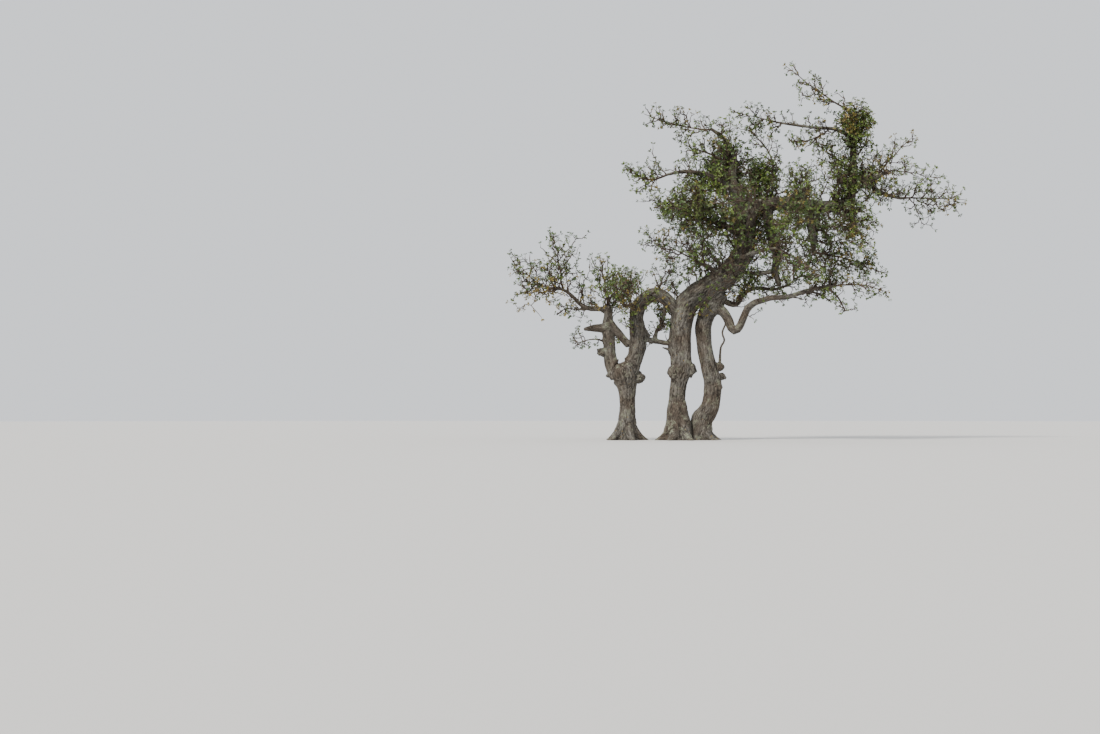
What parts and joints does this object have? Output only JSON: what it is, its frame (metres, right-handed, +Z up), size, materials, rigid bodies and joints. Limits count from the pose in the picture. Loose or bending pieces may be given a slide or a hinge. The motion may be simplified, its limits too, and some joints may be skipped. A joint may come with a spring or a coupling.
{
  "type": "hawthorn tree",
  "caption": "Old wind-bent hawthorn on three stems, with a looped bough, a bough bent into an arch and a crown thin in leaf that leans to one side.",
  "frame": {"origin": "middle of the flat cut under the main stem, at ground level", "axes": "+Z up, +X along the crown's long side towards the leader, +Y through its depth"},
  "size_m": [6.2433, 2.7685, 5.0623],
  "materials": {
    "bark": "matt",
    "foliage": "matt"
  },
  "bodies": {
    "root": {"main_trunk": "bark", "right_stem": "bark", "left_stem": "bark", "left_fork": "bark", "inner_fork": "bark", "arch_bough": "bark", "left_bough": "bark", "hooked_bough": "bark", "lower_bough": "bark", "middle_bough": "bark", "upper_limb": "bark", "right_leader": "bark", "upper_left_limb": "bark", "left_crown_bough": "bark", "left_middle_bough": "bark", "left_lower_bough": "bark", "hanging_limb": "bark", "brace_limb": "bark", "drooping_bough": "bark", "right_upper_bough": "bark", "right_lower_bough": "bark", "top_left_bough": "bark", "front_bough": "bark", "back_bough": "bark", "front_right_bough": "bark", "back_right_bough": "bark", "front_lower_bough": "bark", "back_lower_bough": "bark", "left_tip_twigs": "foliage", "left_rising_twigs": "foliage", "left_fork_twigs": "foliage", "left_back_twigs": "foliage", "left_front_twigs": "foliage", "arch_twigs": "foliage", "lower_left_twigs": "foliage", "lower_left_back_twigs": "foliage", "left_middle_twigs": "foliage", "left_crown_twigs": "foliage", "left_shoulder_twigs": "foliage", "upper_left_tip_twigs": "foliage", "upper_left_knob_twigs": "foliage", "heart_twigs": "foliage", "middle_top_twigs": "foliage", "upper_limb_twigs": "foliage", "top_left_twigs": "foliage", "top_middle_twigs": "foliage", "top_tip_twigs": "foliage", "right_leader_twigs": "foliage", "leader_left_twigs": "foliage", "right_upper_twigs": "foliage", "right_tip_twigs": "foliage", "right_middle_twigs": "foliage", "right_lower_twigs": "foliage", "lower_bough_twigs": "foliage", "middle_lower_twigs": "foliage", "front_twigs": "foliage", "back_twigs": "foliage", "front_right_twigs": "foliage", "back_right_twigs": "foliage", "front_lower_twigs": "foliage"}
  },
  "joints": []
}
